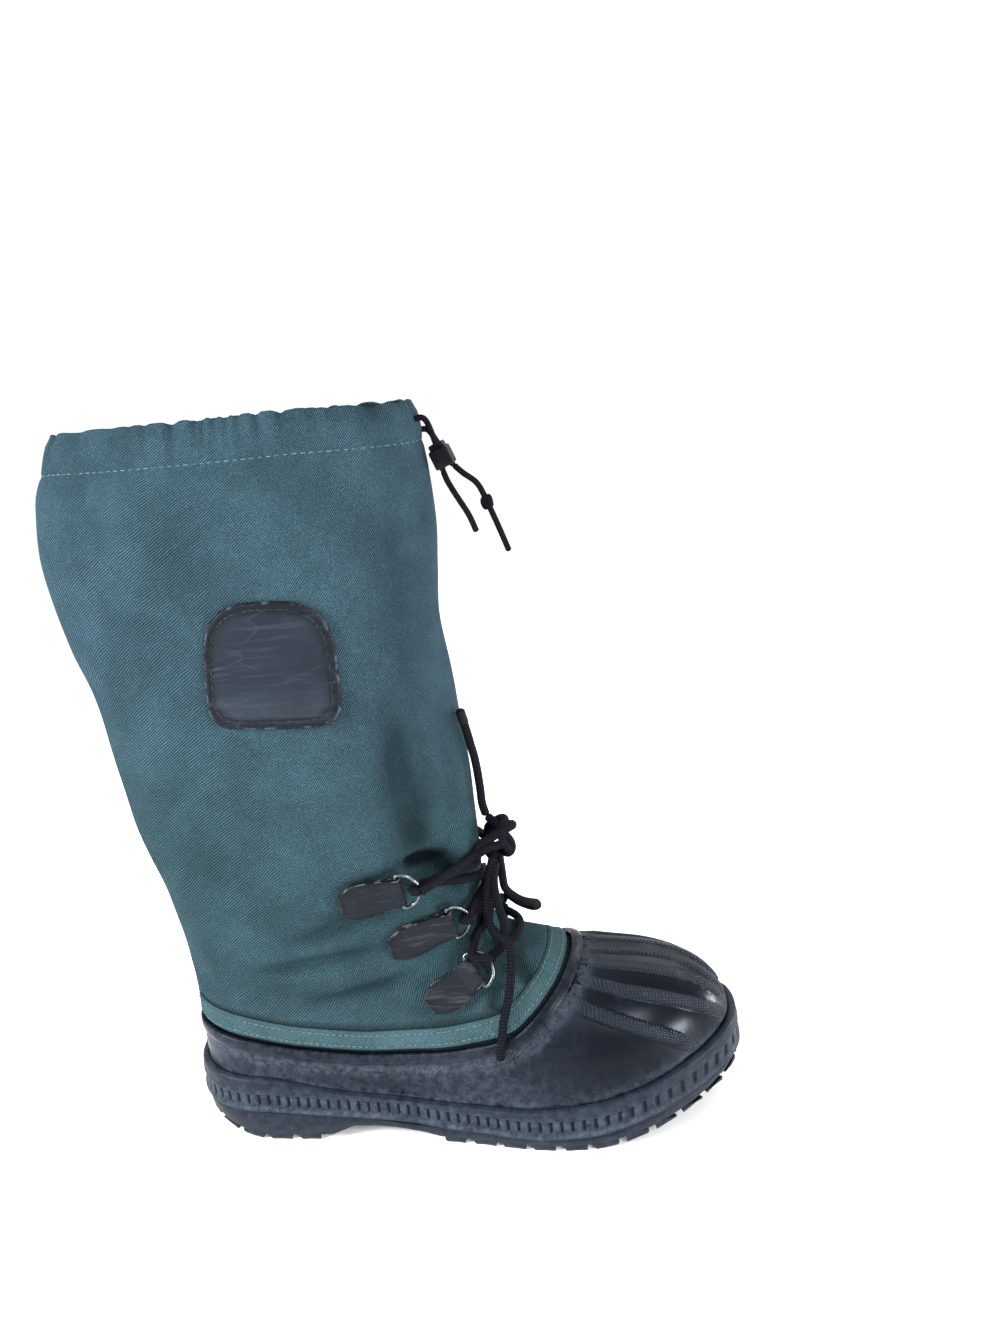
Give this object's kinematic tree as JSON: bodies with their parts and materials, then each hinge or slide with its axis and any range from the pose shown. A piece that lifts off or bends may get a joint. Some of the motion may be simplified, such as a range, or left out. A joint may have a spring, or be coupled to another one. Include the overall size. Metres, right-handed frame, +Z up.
{
  "type": "pac boot",
  "caption": "Tall winter pac boot for the right foot: rubber lower with ribbed foxing and lugged sole, fabric shaft, lace rings and a drawcord hem.",
  "frame": {"origin": "on the floor, under the middle of the boot's box without its free cords", "axes": "+X towards the toe, +Y towards the inner side of the foot, +Z up"},
  "size_m": [0.3382, 0.115, 0.386],
  "materials": {
    "rubber_sole": "worn matt black rubber with dust in its grooves",
    "rubber_shell": "semi-gloss black rubber with dull scuffs",
    "shaft_fabric": "dark teal green coarse twill",
    "tape_fabric": "green woven tape with pale stitches",
    "insole_felt": "grey felt",
    "tab_leather": "worn dark leather, stitched",
    "ring_steel": "bright steel wire",
    "lace_cord": "black round braid",
    "lock_plastic": "matt black plastic"
  },
  "bodies": {
    "root": {"outsole": "rubber_sole", "foxing": "rubber_sole", "shell": "rubber_shell", "shaft": "shaft_fabric", "trim_tape": "tape_fabric", "insole": "insole_felt", "side_patch": "tab_leather", "lace_bar": "lace_cord", "lace_crossing_low": "lace_cord", "lace_crossing_high": "lace_cord", "lace_knot": "lace_cord", "lace_end_up": "lace_cord", "lace_end_down": "lace_cord", "lace_loop": "lace_cord", "cord_lock": "lock_plastic", "drawcord_end_short": "lace_cord", "drawcord_end_long": "lace_cord", "lace_tab_outer_1": "tab_leather", "lace_ring_outer_1": "ring_steel", "lace_tab_outer_2": "tab_leather", "lace_ring_outer_2": "ring_steel", "lace_tab_outer_3": "tab_leather", "lace_ring_outer_3": "ring_steel", "lace_tab_inner_1": "tab_leather", "lace_ring_inner_1": "ring_steel", "lace_tab_inner_2": "tab_leather", "lace_ring_inner_2": "ring_steel", "lace_tab_inner_3": "tab_leather", "lace_ring_inner_3": "ring_steel"}
  },
  "joints": []
}
